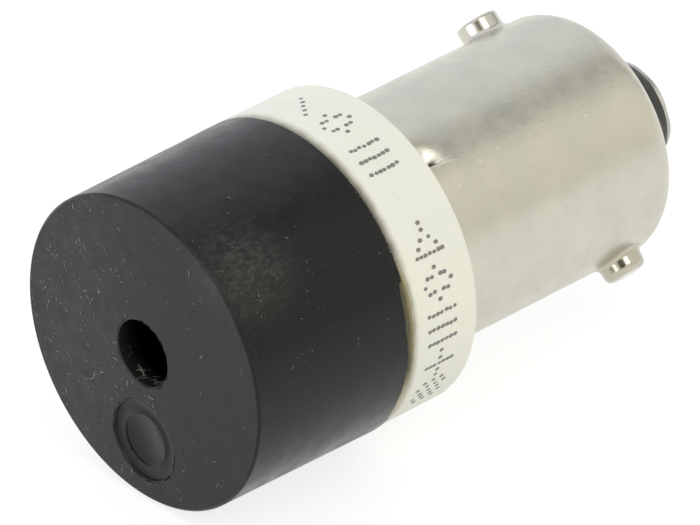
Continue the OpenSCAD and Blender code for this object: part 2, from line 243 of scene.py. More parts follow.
def rounded(corners, steps=5):
    """The closed outline through corners of (radius, y, fillet), with each fillet as an arc."""
    outline = []
    for i, (radius, y, fillet) in enumerate(corners):
        here = np.array([radius, y])
        if fillet == 0:
            outline.append(here)
            continue
        back = np.array(corners[i - 1][:2]) - here
        on = np.array(corners[(i + 1) % len(corners)][:2]) - here
        back = back/np.linalg.norm(back)
        on = on/np.linalg.norm(on)
        half = acos(np.clip(back @ on, -1, 1))/2
        middle = (back + on)/np.linalg.norm(back + on)
        centre = here + middle*fillet/sin(half)
        start = here + back*fillet/tan(half) - centre
        stop = here + on*fillet/tan(half) - centre
        for k in range(steps + 1):
            way = (1 - k/steps)*start + k/steps*stop
            outline.append(centre + fillet*way/np.linalg.norm(way))
    return outline


def even_turn(count):
    """Evenly spaced angles of a full turn."""
    return np.arange(count)*2*pi/count


def turned(builder, profile, angle, centre=(0, 0), warp=None, closed=True):
    """Turns an outline of (radius, y) points round an axis along Y, and returns its rings."""
    radius = np.array([[p[0]]*len(angle) for p in profile])
    along = np.array([[p[1]]*len(angle) for p in profile])
    if warp:
        radius, along = warp(radius, along, np.broadcast_to(angle, radius.shape))
    rings = []
    for r, y in zip(radius, along):
        x = centre[0] + r*np.sin(angle)
        z = centre[1] + r*np.cos(angle)
        rings.append(builder.add(np.column_stack([x, y, z])))
    builder.join(rings + rings[:1] if closed else rings)
    return rings


def ripple(radius, along, angle, wave, seed):
    """Smooth random values from -1 to 1 over a turned surface, with a wave in millimetres."""
    x, z = radius*np.sin(angle), radius*np.cos(angle)
    flat = zip(x.ravel()/wave, along.ravel()/wave, z.ravel()/wave)
    values = [noise.noise(Vector((a + seed, b, c))) for a, b, c in flat]
    return np.array(values).reshape(radius.shape)


# Finishes

class Graph:
    """Short calls for the nodes of one shader tree."""

    def __init__(self, tree):
        self.nodes = tree.nodes
        self.links = tree.links

    def put(self, socket, value):
        """Sets a socket to a value, or links it to another socket."""
        if isinstance(value, bpy.types.NodeSocket):
            self.links.new(value, socket)
        elif socket.type == "RGBA":
            socket.default_value = (*value, 1)
        else:
            socket.default_value = value

    def node(self, kind, *values, operation=None, **named):
        """A new node, with its first inputs in order and others by name."""
        made = self.nodes.new("ShaderNode" + kind)
        if operation:
            made.operation = operation
        for socket, value in zip(made.inputs, values):
            self.put(socket, value)
        for name, value in named.items():
            self.put(made.inputs[name], value)
        return made

    def math(self, operation, a, b=0.0, c=0.0):
        return self.node("Math", a, b, c, operation=operation).outputs[0]

    def times(self, a, b):
        return self.math("MULTIPLY", a, b)

    def most(self, a, b):
        return self.math("MAXIMUM", a, b)

    def ramp(self, value, start, stop, low=0.0, high=1.0):
        """A smooth step from low to high as the value goes from start to stop."""
        made = self.node("MapRange", value, start, stop, low, high)
        made.interpolation_type = "SMOOTHSTEP"
        return made.outputs[0]

    def mix(self, share, first, second):
        """A colour between two, each a socket or a red, green and blue."""
        made = self.node("Mix")
        made.data_type = "RGBA"
        sockets = {s.identifier: s for s in made.inputs}
        self.put(sockets["Factor_Float"], share)
        self.put(sockets["A_Color"], first)
        self.put(sockets["B_Color"], second)
        return next(s for s in made.outputs if s.identifier == "Result_Color")


class Finish(Graph):
    """A procedural material round one Principled shader. Places are read in millimetres."""

    def __init__(self, name, **sockets):
        self.material = bpy.data.materials.new(name)
        self.material.use_nodes = True
        super().__init__(self.material.node_tree)
        self.shader = self.nodes["Principled BSDF"]
        for socket, value in sockets.items():
            self.shader.inputs[socket.replace("_", " ")].default_value = value
        source = self.node("TexCoord").outputs["Object"]
        self.place = self.node("VectorMath", source, operation="SCALE", Scale=1/MM).outputs["Vector"]

    def paint(self, colour):
        self.put(self.shader.inputs["Base Color"], colour)

    def roughen(self, scale, detail, low, high):
        """Roughness from low to high in soft patches."""
        self.put(self.shader.inputs["Roughness"], self.ramp(self.noise(scale, detail), 0.3, 0.7, low, high))

    def stretched(self, stretch):
        """The place, with each axis scaled where a stretch is given."""
        if not stretch:
            return self.place
        return self.node("VectorMath", self.place, stretch, operation="MULTIPLY").outputs["Vector"]

    def noise(self, scale, detail=3.0, stretch=None, rough=0.5):
        """Smooth noise, with a scale in waves to the millimetre."""
        place = self.stretched(stretch)
        return self.node("TexNoise", place, Scale=scale, Detail=detail, Roughness=rough).outputs["Fac"]

    def specks(self, scale, size, share, stretch=None):
        """1 in small spots, one in a share of the cells, with a scale in cells to the millimetre."""
        cells = self.node("TexVoronoi", self.stretched(stretch), Scale=scale).outputs
        lot = self.node("SeparateColor", cells["Color"]).outputs["Red"]
        picked = self.math("LESS_THAN", lot, share)
        return self.times(picked, self.ramp(cells["Distance"], size, size/3))

    def mark(self, name):
        """A named value that the mesh holds for each point."""
        made = self.node("Attribute")
        made.attribute_name = name
        return made.outputs["Fac"]

    def axis(self, name):
        """One coordinate of the place on the part."""
        return self.node("SeparateXYZ", self.place).outputs[name]

    def near(self, point, inner, outer):
        """1 within the inner distance of a point, fading to 0 at the outer one."""
        away = self.node("VectorMath", self.place, point, operation="DISTANCE").outputs["Value"]
        return self.ramp(away, outer, inner)

    def bump(self, height, depth):
        """Bump from a height of 0 to 1 that stands for a depth in millimetres."""
        made = self.node("Bump", Distance=depth*MM, Height=height)
        self.put(self.shader.inputs["Normal"], made.outputs["Normal"])


def on_turn(radius, y, angle):
    """A point on a surface turned round the part's axis, from its angle in degrees."""
    a = radians(angle)
    return (radius*sin(a), y, radius*cos(a))


# Where dust and wear lie, with glints painted on the worn side, and where shade is painted in the collar's
# groove, in millimetres and degrees
FILM_FROM_X, FILM_TO_X = 2.5, -4.0
FILM_FROM, FILM_FULL = 0.12, 0.03
SETTLED_FROM_Z, SETTLED_TO_Z = 4.2, 5.9
HOLE_FADE = 0.04
PATCH_Y, PATCH_ANGLE = -8.8, 37.5
PATCH_INNER, PATCH_OUTER = 0.3, 2.8
GRIME_AND_SHADE_FROM, GRIME_AND_SHADE_FULL = 0.34, 0.02
PALE_FROM_Z, PALE_TO_Z = -0.8, -2.6
PALE_BACK = 0.17
WORN_ANGLE = 34
WORN_FROM, WORN_FULL = 0.93*shell_r, 0.99*shell_r


def black_moulding():
    """Satin black plastic with a film of dust, scuffs along its side and a fine moulded grain."""
    bare, dust, fleck = (0.0022, 0.0022, 0.0021), (0.165, 0.162, 0.15), (0.2, 0.195, 0.175)
    f = Finish("black_moulding", IOR=1.375)
    left = f.ramp(f.axis("X"), FILM_FROM_X, FILM_TO_X, 0.1, 1.35)
    on_face = f.ramp(f.axis("Y"), face_y + FILM_FROM, face_y + FILM_FULL)
    mottle = f.ramp(f.noise(1.6, 5), 0.3, 0.7, 0.45, 1.0)
    film = f.times(f.times(left, on_face), mottle)
    settled = f.ramp(f.axis("Z"), SETTLED_FROM_Z, SETTLED_TO_Z, 0.0, 0.6)
    film = f.most(film, f.times(settled, mottle))
    hole_reach = hypot(HOLE_R, FACE_WALL/2)
    hole_middle = (head_axis[0], face_y + FACE_WALL/2, head_axis[1])
    film = f.most(film, f.near(hole_middle, hole_reach, hole_reach + HOLE_FADE))
    streaks = f.ramp(f.noise(4.0, 5, stretch=(1, 0.45, 1), rough=0.65), 0.42, 0.72)
    rubbed = f.ramp(f.noise(7.0, 4, stretch=(1, 0.6, 1), rough=0.7), 0.46, 0.7)
    cloud = f.math("MULTIPLY_ADD", f.most(streaks, rubbed), 2.1, 0.6)
    patch = f.near(on_turn(head_r, PATCH_Y, PATCH_ANGLE), PATCH_INNER, PATCH_OUTER)
    film = f.most(film, f.times(patch, cloud))
    scuffs = f.ramp(f.noise(3.0, 4, stretch=(1, 0.16, 1)), 0.56, 0.74)
    film = f.most(film, f.times(scuffs, f.ramp(f.noise(0.5, 4), 0.4, 0.66, 0.0, 0.4)))
    colour = f.mix(f.times(film, 0.11), bare, dust)
    flecks = f.most(f.specks(2.8, 0.075, 0.2), f.specks(6.5, 0.11, 0.14))
    flecks = f.times(flecks, f.ramp(f.noise(0.8, 3), 0.4, 0.65, 0.1, 0.6))
    f.paint(f.mix(flecks, colour, fleck))
    f.roughen(1.1, 4, 0.26, 0.36)
    f.bump(f.math("ADD", f.noise(4.5, 3), f.times(f.noise(15, 3, rough=0.7), 0.4)), 0.006)
    return f.material


def white_moulding():
    """Off-white satin plastic, a little yellowed, with a brown stain and painted shade in the groove at the
    head.
    """
    clean, yellowed = (0.805, 0.816, 0.735), (0.832, 0.836, 0.725)
    brown, spot = (0.32, 0.28, 0.185), (0.35, 0.31, 0.24)
    f = Finish("white_moulding", IOR=1.46, Subsurface_Weight=0.12, Subsurface_Scale=0.35*MM)
    f.shader.inputs["Subsurface Radius"].default_value = (1.0, 0.9, 0.7)
    colour = f.mix(f.ramp(f.noise(0.28, 3), 0.35, 0.65), clean, yellowed)
    # A brown stain and painted shade, darkest in the groove beside the head's rear edge
    groove = f.ramp(f.axis("Y"), collar_front_y + GRIME_AND_SHADE_FROM, collar_front_y + GRIME_AND_SHADE_FULL)
    grime_and_shade = f.times(groove, f.ramp(f.noise(1.8, 4), 0.25, 0.75, 0.35, 0.8))
    colour = f.mix(grime_and_shade, colour, brown)
    f.paint(f.mix(f.times(f.specks(1.1, 0.05, 0.16), 0.45), colour, spot))
    f.roughen(2.5, 3, 0.38, 0.5)
    f.bump(f.noise(7, 3), 0.003)
    return f.material


def printing_ink():
    """Grey ink, thinner where a dot spread."""
    thick, thin = (0.13, 0.127, 0.115), (0.3, 0.292, 0.262)
    f = Finish("printing_ink", Roughness=0.6)
    f.paint(f.mix(f.noise(9, 3), thick, thin))
    f.bump(f.noise(20, 2), 0.002)
    return f.material


def cured_glue():
    """Tan resin: dark where it laps over the head, thin and pale over the collar and low down."""
    dark, brown = (0.075, 0.066, 0.026), (0.25, 0.214, 0.1)
    pale, palest = (0.55, 0.515, 0.37), (0.58, 0.55, 0.4)
    f = Finish("cured_glue", IOR=1.48, Subsurface_Weight=0.15, Subsurface_Scale=0.2*MM)
    f.shader.inputs["Subsurface Radius"].default_value = (1.0, 0.8, 0.4)
    across = f.ramp(f.axis("Y"), head_rear_y - GLUE_LAP, collar_front_y + PALE_BACK)
    uneven = f.times(f.math("SUBTRACT", f.noise(2.6, 4), 0.5), 0.45)
    thin = f.math("ADD", across, uneven)
    colour = f.mix(f.ramp(thin, 0.0, 0.55), dark, brown)
    colour = f.mix(f.ramp(thin, 0.55, 1.0), colour, pale)
    low = f.ramp(f.axis("Z"), PALE_FROM_Z, PALE_TO_Z, 0.0, 0.75)
    f.paint(f.mix(low, colour, palest))
    f.roughen(3, 3, 0.3, 0.45)
    f.bump(f.noise(3.5, 3), 0.02)
    return f.material


def nickel_plate():
    """Satin nickel over drawn brass: mottled, grained and pitted, with scratched flecks along one side
    painted near white as glints, and painted highlights and painted shade at the stakes.
    """
    grey, warm, stained = (0.58, 0.571, 0.49), (0.625, 0.607, 0.51), (0.43, 0.41, 0.335)
    # Colours of pits, and of flecks painted near white as glints
    pit, fleck = (0.2, 0.19, 0.16), (0.9, 0.875, 0.76)
    # Colours of the painted highlights at the stakes and of the painted shade in their pits
    highlight_colour, shaded = (0.95, 0.93, 0.82), (0.035, 0.032, 0.02)
    f = Finish("nickel_plate", Metallic=1.0)
    colour = f.mix(f.ramp(f.noise(0.7, 5), 0.3, 0.7), grey, warm)
    stain = f.ramp(f.noise(1.7, 5, rough=0.65), 0.56, 0.76)
    colour = f.mix(f.times(stain, 0.25), colour, stained)
    side_x, _, side_z = on_turn(1, 0, WORN_ANGLE)
    height = f.math("MULTIPLY_ADD", f.axis("X"), side_x, f.times(f.axis("Z"), side_z))
    worn = f.ramp(height, WORN_FROM, WORN_FULL, 0.0, 0.6)
    pits = f.most(f.specks(2.1, 0.08, 0.12), f.specks(4.3, 0.1, 0.05))
    pits = f.times(pits, f.ramp(f.noise(0.5, 2), 0.4, 0.6, 0.3, 0.85))
    # Scratched flecks on the worked side, painted near white as glints
    flecks = f.most(f.specks(3.4, 0.17, 0.8, stretch=(1, 0.6, 1)), f.specks(6.0, 0.22, 0.9))
    flecks = f.times(flecks, f.ramp(f.noise(1.5, 3), 0.4, 0.58))
    colour = f.mix(pits, colour, pit)
    colour = f.mix(f.times(flecks, worn), colour, fleck)
    # Painted highlights at the stakes, from a mark on the shell's points; the same mark makes the rubbed
    # metal smoother
    burnish_and_highlight = f.mark("burnish_and_highlight")
    colour = f.mix(burnish_and_highlight, colour, highlight_colour)
    f.paint(f.mix(f.mark("shade"), colour, shaded))
    rough = f.ramp(f.noise(2.0, 4), 0.3, 0.7, 0.27, 0.37)
    f.put(f.shader.inputs["Roughness"], f.math("SUBTRACT", rough, f.times(burnish_and_highlight, 0.14)))
    grain = f.noise(11, 4, stretch=(1, 0.5, 1), rough=0.7)
    grain = f.math("ADD", grain, f.specks(3.6, 0.24, 0.45, stretch=(1, 0.55, 1)))
    f.bump(f.math("SUBTRACT", grain, f.times(pits, 0.4)), 0.005)
    return f.material


def polished_nickel(name, dull, bright):
    """Bright nickel on a turned stud, with faint turning marks."""
    f = Finish(name, Metallic=1.0)
    f.paint(f.mix(f.noise(1.6, 4), dull, bright))
    f.roughen(3.0, 4, 0.1, 0.2)
    f.bump(f.noise(8, 3), 0.0015)
    return f.material


def black_glass():
    """Cast black glass with a dull, slightly dusty skin."""
    black, dusty, fleck = (0.02, 0.018, 0.011), (0.2, 0.185, 0.14), (0.3, 0.29, 0.25)
    f = Finish("black_glass", IOR=1.3, Specular_IOR_Level=0.3)
    dust = f.times(f.ramp(f.noise(1.3, 5), 0.45, 0.75), 0.06)
    flecks = f.times(f.specks(3.0, 0.09, 0.15), 0.6)
    f.paint(f.mix(flecks, f.mix(dust, black, dusty), fleck))
    f.roughen(2.2, 4, 0.26, 0.42)
    f.bump(f.noise(2.4, 3), 0.02)
    return f.material


def soft_solder(name, bright, dull):
    """Tin and solder: frosted, with a dull skin in patches and fine wrinkles."""
    f = Finish(name, Metallic=1.0)
    skin = f.ramp(f.noise(1.5, 4), 0.3, 0.72)
    f.paint(f.mix(skin, bright, dull))
    f.roughen(3.6, 4, 0.24, 0.46)
    f.bump(f.noise(4.0, 4), 0.01)
    return f.material


def lint_fibre():
    """Pale dust and lint, some threads greyer than others."""
    grey, pale = (0.11, 0.108, 0.098), (0.58, 0.57, 0.53)
    f = Finish("lint_fibre", Roughness=0.9)
    f.paint(f.mix(f.ramp(f.noise(1.7, 2), 0.38, 0.68), grey, pale))
    return f.material


def inner_metal(name, low, high, roughness):
    """Rolled or plated metal inside the part."""
    f = Finish(name, Metallic=1.0)
    f.paint(f.mix(f.noise(2.4, 4), low, high))
    f.roughen(5, 4, roughness - 0.08, roughness + 0.08)
    f.bump(f.noise(18, 3), 0.003)
    return f.material


def inner_body(name, low, high, roughness):
    """Ceramic, resin or board inside the part."""
    f = Finish(name)
    f.paint(f.mix(f.noise(3.2, 4), low, high))
    f.roughen(4, 3, roughness - 0.1, roughness + 0.1)
    f.bump(f.noise(12, 3), 0.004)
    return f.material


BLACK = black_moulding()
WHITE = white_moulding()
INK = printing_ink()
GLUE = cured_glue()
NICKEL = nickel_plate()
BRIGHT_NICKEL = polished_nickel("bright_nickel", (0.57, 0.555, 0.488), (0.66, 0.643, 0.565))
# The same nickel painted darker for the lower stud, as painted shade of the part's own shadow that it
# reflects
SHADED_STUD_NICKEL = polished_nickel("shaded_stud_nickel", (0.476, 0.452, 0.375), (0.549, 0.524, 0.435))
GLASS = black_glass()
TIN = soft_solder("tinned_contact", (0.62, 0.615, 0.57), (0.44, 0.435, 0.4))
SOLDER = soft_solder("frosted_solder", (0.68, 0.68, 0.65), (0.47, 0.47, 0.44))
LINT = lint_fibre()
# Near-black steel for the diaphragm and armature behind the sound hole, as painted shade of the hole
SHADE_BLACK_STEEL = inner_metal("blackened_steel", (0.012, 0.012, 0.013), (0.03, 0.03, 0.03), 0.6)
IRON = inner_metal("plated_iron", (0.42, 0.42, 0.44), (0.56, 0.56, 0.57), 0.4)
COPPER = inner_metal("enamelled_copper", (0.5, 0.2, 0.07), (0.68, 0.32, 0.14), 0.32)
WIRE = inner_metal("tinned_wire", (0.6, 0.6, 0.58), (0.72, 0.72, 0.7), 0.3)
FERRITE = inner_body("ferrite", (0.03, 0.03, 0.033), (0.06, 0.06, 0.063), 0.7)
BOARD = inner_body("board_mask", (0.02, 0.1, 0.035), (0.035, 0.15, 0.055), 0.4)
MOULDED = inner_body("moulded_component", (0.015, 0.015, 0.017), (0.03, 0.03, 0.032), 0.5)
RESIN = inner_body("potting_resin", (0.008, 0.008, 0.009), (0.018, 0.018, 0.02), 0.35)
LACQUER = inner_body("resistor_lacquer", (0.5, 0.36, 0.2), (0.62, 0.47, 0.3), 0.4)

INNER_FINISHES = {
    "diaphragm": SHADE_BLACK_STEEL, "armature_disc": SHADE_BLACK_STEEL, "support_ring": BLACK, "ring_magnet": FERRITE,
    "coil_winding": COPPER, "pole_core": IRON, "yoke_plate": IRON, "driver_board": BOARD,
    "transistor": MOULDED, "terminal_pins": WIRE, "base_seal": RESIN, "rectifier_board": BOARD,
    "rectifier": MOULDED, "series_resistor": LACQUER, "contact_lead": WIRE, "shell_lead": WIRE,
}


def finish_inner_nodes():
    """Gives every solid that isn't replaced its finish."""
    for name, finish in INNER_FINISHES.items():
        slots = frame["nodes"][name].data.materials
        slots.clear()
        slots.append(finish)


# Pieces of the head

def face_between(builder, loops, holes):
    """Fills the face between closed loops of points, and leaves out round holes of (x, z, radius)."""
    numbers = [n for loop in loops for n in loop]
    flat = [Vector((builder.points[n][0], builder.points[n][2])) for n in numbers]
    edges = []
    first = 0
    for loop in loops:
        edges += [(first + i, first + (i + 1) % len(loop)) for i in range(len(loop))]
        first += len(loop)
    points, _, faces, origins, _, _ = geometry.delaunay_2d_cdt(flat, edges, [], 0, 1e-6)
    for corners in faces:
        middle = sum((points[c] for c in corners), Vector((0, 0)))/len(corners)
        if all((middle - Vector((x, z))).length > r for x, z, r in holes):
            builder.faces.append(tuple(numbers[origins[c][0]] for c in corners))


def make_case():
    """The moulded case: a drafted cup with a sound hole and a shallow round spot."""
    count = 240
    b = Builder()
    bore_r = head_r - HEAD_WALL
    shoulder_y = diaphragm_y - FIT
    outline = rounded([
        (face_r - FACE_BEVEL - FACE_GUARD, face_y, 0),
        (face_r - FACE_BEVEL, face_y, FACE_ROUND),
        (face_r, face_y + FACE_BEVEL, SIDE_ROUND),
        (head_r, head_rear_y, REAR_ROUND),
        (bore_r, head_rear_y, 0),
        (bore_r, shoulder_y, 0),
        (bore_r - SHOULDER_W, shoulder_y, 0),
        (bore_r - SHOULDER_W, face_y + FACE_WALL, 0),
        (HOLE_R, face_y + FACE_WALL, 0),
        (HOLE_R, face_y + HOLE_EDGE, HOLE_EDGE/3),
        (HOLE_R + HOLE_EDGE, face_y, 0),
        (HOLE_R + HOLE_EDGE + FACE_GUARD, face_y, 0),
    ])
    rings = turned(b, outline, even_turn(count), head_axis, closed=False)
    spot_axis = (head_axis[0], head_axis[1] - spot_drop)
    spot_outline = [
        (SPOT_R + SPOT_EDGE + FACE_GUARD, 0),
        (SPOT_R + SPOT_EDGE, 0),
        (SPOT_R + SPOT_EDGE/3, SPOT_EDGE/3),
        (SPOT_R, SPOT_EDGE),
        (SPOT_R - SPOT_DRAFT, SPOT_DEPTH - SPOT_ROUND),
        (SPOT_R - SPOT_DRAFT - SPOT_ROUND, SPOT_DEPTH),
        (WITNESS_R + WITNESS_OUT, SPOT_DEPTH),
        (WITNESS_R + WITNESS_TOP, SPOT_DEPTH - WITNESS_DEPTH),
        (WITNESS_R - WITNESS_TOP, SPOT_DEPTH - WITNESS_DEPTH),
        (WITNESS_R - WITNESS_IN, SPOT_DEPTH),
    ]
    spot_profile = [(radius, face_y + depth) for radius, depth in spot_outline]
    spot_rings = turned(b, spot_profile, even_turn(count//2), spot_axis, closed=False)
    b.cap(spot_rings[-1], (spot_axis[0], face_y + SPOT_DEPTH, spot_axis[1]))
    holes = [(*head_axis, HOLE_R + HOLE_EDGE), (*spot_axis, SPOT_R + SPOT_EDGE)]
    face_between(b, [rings[0], rings[-1], spot_rings[0]], holes)
    b.piece("case_body", BLACK, ["buzzer_case"])


# Pieces of the collar

def make_collar():
    """The moulded collar, with a soft front edge, a crisp rear edge and a spigot in the cap."""
    def uneven(radius, along, angle):
        outside = np.clip((radius - shell_r)/(collar_r - shell_r), 0, 1)
        return radius + COLLAR_RIPPLE*outside*ripple(radius, along, angle, wave=2.5, seed=3.0), along

    b = Builder()
    outline = rounded([
        (BORE_R, collar_front_y, 0),
        (collar_r, collar_front_y, COLLAR_ROUND),
        (collar_r, 0, COLLAR_EDGE),
        (REBATE_R, 0, 0),
        (REBATE_R, mouth_y, 0),
        (SPIGOT_R, mouth_y, 0),
        (SPIGOT_R, spigot_y - SPIGOT_LEAD, 0),
        (SPIGOT_R - SPIGOT_LEAD, spigot_y, 0),
        (BORE_R, spigot_y, 0),
    ], steps=8)
    turned(b, outline, even_turn(240), warp=uneven)
    b.piece("collar_ring", WHITE, ["collar"])


def make_glue():
    """The glue: a thin layer, squeezed out into a bead over the collar's edge on one side."""
    arc_steps = 8
    count = 300
    groove_r = collar_r - COLLAR_ROUND
    groove_y = collar_front_y + COLLAR_ROUND
    least_r = groove_r + GLUE_LEAST

    def wave(a, waves, seed):
        return noise.noise(Vector((waves*cos(a), waves*sin(a), seed)))

    def section(angle):
        """Outline of the glue at one angle: over the head's edge, round the bead and back on the collar."""
        a = radians(angle)
        rise = min(angle - GLUE_FROM, GLUE_TO - angle)/GLUE_FADE
        squeezed = 0.5 + 0.5*tanh(2*rise - 1)
        waver = wave(a, waves=4.1, seed=7.7) + 0.5*wave(a, waves=13.0, seed=2.2)
        edge_r = head_r + head_axis[0]*sin(a) + head_axis[1]*cos(a)
        lap_y = head_rear_y - GLUE_LAP*squeezed*(1 + 0.25*waver)
        reach = groove_r + GLUE_STAND + squeezed*(GLUE_REACH + GLUE_STAND*waver)
        rest_y = groove_y - sqrt(COLLAR_ROUND**2 - (reach - groove_r)**2)
        bead = [(edge_r - GLUE_SUNK, lap_y - GLUE_BED)]
        bead += [(edge_r + height, lap_y + back*squeezed) for height, back in LAP_SKIN]
        bead += [(edge_r + height, head_rear_y + back*squeezed) for height, back in EDGE_SKIN]
        bead.append((0.6*edge_r + 0.4*reach, 0.4*head_rear_y + 0.6*rest_y))
        points = [(BORE_R, head_rear_y)]
        points += [(least_r + squeezed*(r - least_r), y) for r, y in bead]
        end = asin((reach - groove_r)/COLLAR_ROUND)
        for k in range(arc_steps + 1):
            t = end*(1 - k/arc_steps)
            arc_r = COLLAR_ROUND - GLUE_BED if k else COLLAR_ROUND
            points.append((groove_r + arc_r*sin(t), groove_y - arc_r*cos(t)))
        points.append((BORE_R, collar_front_y + GLUE_BED))
        return points

    b = Builder()
    columns = []
    for i in range(count):
        angle = 360*i/count
        columns.append(b.add([on_turn(r, y, angle) for r, y in section(angle)]))
    b.join(columns + columns[:1])
    b.piece("glue_bead", GLUE, ["adhesive_bead"], flats=False)


# Dotted shapes of the print, as a test on a dot's row and column counted from the middle
PRINT_SHAPES = {
    "slant": lambda row, column: row == -column,
    "diamond": lambda row, column: 5 <= 2*abs(row) + 3*abs(column) <= 7,
    "checks": lambda row, column: (row + column) % 2 == 0,
    "bars": lambda row, column: column % 2 == 0,
    "wedge": lambda row, column: column == 2 or abs(row) == (3*column + 6)//4,
    "plus": lambda row, column: row == 0 or column == 0,
}
PRINT_ROW = [
    (-10, "slant"), (6, "diamond"), (25, "bars"), (57, "wedge"), (73, "diamond"), (89, "bars"),
    (104.5, "plus"), (118.5, "checks"),
]
PRINT_Y = -1.62
DOT_R = 0.077
DOT_STRETCH = 1.28
DOT_T = 0.004
DOT_ROWS = 0.2
DOT_COLUMNS = 0.285
DOT_SIDES = 14
DOT_SPREAD = (0.88, 1.12)
DOT_SCATTER = 0.012
DOT_UNEVEN = 0.06
# A dot's rings: the share of its radius, and the height in thicknesses of the ink
DOT_RINGS = ((1.0, -2.5), (0.94, 0.4), (0.6, 1.0))


def make_dot(b, turn, y, size):
    """One dot of ink, with its foot under the ripples of the collar."""
    levels = [collar_r + COLLAR_RIPPLE + lift*DOT_T for _, lift in DOT_RINGS]
    rings = []
    for (share, _), r in zip(DOT_RINGS, levels):
        ring = []
        for k in range(DOT_SIDES):
            spread = size*share*(1 + DOT_UNEVEN*sin(2*k + 9*turn))
            a = turn + spread*cos(2*pi*k/DOT_SIDES)/collar_r
            along = y + DOT_STRETCH*spread*sin(2*pi*k/DOT_SIDES)
            ring.append((r*sin(a), along, r*cos(a)))
        rings.append(b.add(ring))
    b.join(rings)
    for end in (-1, 0):
        b.cap(rings[end], (levels[end]*sin(turn), y, levels[end]*cos(turn)))


def make_print():
    """The print on the collar: simple shapes in dots of ink."""
    b = Builder()
    for middle, shape in PRINT_ROW:
        for row in range(-3, 4):
            for column in range(-2, 3):
                if not PRINT_SHAPES[shape](row, column):
                    continue
                size = DOT_R*draw.uniform(*DOT_SPREAD)
                y = PRINT_Y + DOT_ROWS*row + draw.gauss(0, DOT_SCATTER)
                turn = radians(middle) + (DOT_COLUMNS*column + draw.gauss(0, DOT_SCATTER))/collar_r
                make_dot(b, turn, y, size)
    b.piece("print_marks", INK, flats=False)


# Pieces of the bayonet cap

def smooth(value, start, stop):
    """A smooth step from 0 to 1 as a value goes from start to stop."""
    share = np.clip((value - start)/(stop - start), 0, 1)
    return share*share*(3 - 2*share)


def bell(value, middle, width):
    """1 at the middle, falling to 0 on both sides."""
    return np.exp(-((value - middle)/width)**2)


# Painted highlights in lines beside a crease, where the metal is rubbed smooth: millimetres past it, width,
# and where a line begins and ends along it
BRIGHT_LINES = (
    (-0.06, 0.022, (1.3, 1.45), (STAKE_LEN, 1.95)),
    (0.06, 0.02, (1.25, 1.35), (1.8, 1.65)),
)
# Painted highlights of two small bright spots by the crease: places along it, offset past it and width
BEADS_ALONG = (1.15, 1.26)
BEAD_SET, BEAD_R = 0.03, 0.03
# Painted highlight on the facet where it faces a lamp: place back from the crease and along it, radius and
# strength
FACET_BACK, FACET_ALONG, FACET_R = 0.38, 1.27, 0.17
FACET_SHINE = 0.5
# Painted shade in the pit: place back from the crease, width, and fade along the shell
SHADE_BACK, SHADE_W = 0.08, 0.12
SHADE_FADE = (1.5, 1.28)


def staked(along, angle):
    """The punched stakes: depth, and painted highlights on rubbed metal and painted shade at places on the
    shell.

    The punch slid in from one side, so each stake is a hollow facet that ends at a sharp crease.
    """
    depth, burnish_and_highlight, shade = (np.zeros_like(angle) for _ in range(3))
    for stake in STAKE_ANGLES:
        crease = np.radians(stake + CREASE_LEAD + along - STAKE_LEN/2)
        past = shell_r*((angle - crease + pi) % (2*pi) - pi)
        from_pit = np.hypot(past + PIT_BACK, np.maximum(along - PIT_END, 0))
        wall = 0.5 - 0.5*np.tanh((past - CREASE_SET)/CREASE_SHARP)
        burr = BURR_H*bell(past, BURR_SET, BURR_W)*smooth(along, *BURR_FADE)
        depth += STAKE_DEPTH*bell(from_pit, 0, STAKE_SPREAD)*wall - burr
        # Painted highlights: lines beside the crease, small bright spots and the facet
        lines = sum(bell(past, middle, width)*smooth(along, *start)*smooth(along, *stop)
                    for middle, width, start, stop in BRIGHT_LINES)
        bead_highlights = bell(past, BEAD_SET, BEAD_R)*sum(bell(along, place, BEAD_R) for place in BEADS_ALONG)
        facet = bell(np.hypot(past + FACET_BACK, along - FACET_ALONG), 0, FACET_R)
        burnish_and_highlight += lines + bead_highlights + FACET_SHINE*facet
        # Painted shade in the pit, left out under the bright spots
        shade += bell(past, -SHADE_BACK, SHADE_W)*smooth(along, *SHADE_FADE)*(1 - bead_highlights)
    return depth, np.minimum(burnish_and_highlight, 1), np.clip(shade, 0, 1)


# Steps round the shell, in degrees, with fine ones in a range about each crease
COARSE_STEP, FINE_STEP = 2.4, 0.25
FINE_FROM, FINE_MIDDLE, FINE_TO = -16, -6, 3.5
COARSE_CLEAR = 10.5


def shell_turn():
    """Angles round the shell, close together at the stakes."""
    coarse = np.arange(0, 360, COARSE_STEP)
    near = np.arange(FINE_FROM, FINE_TO, FINE_STEP) + CREASE_LEAD
    fine = np.concatenate([near + stake for stake in STAKE_ANGLES])
    middles = np.array(STAKE_ANGLES) + CREASE_LEAD + FINE_MIDDLE
    away = np.abs((coarse - middles[:, None] + 180) % 360 - 180).min(axis=0)
    return np.radians(np.sort(np.concatenate([fine, coarse[away > COARSE_CLEAR]])))


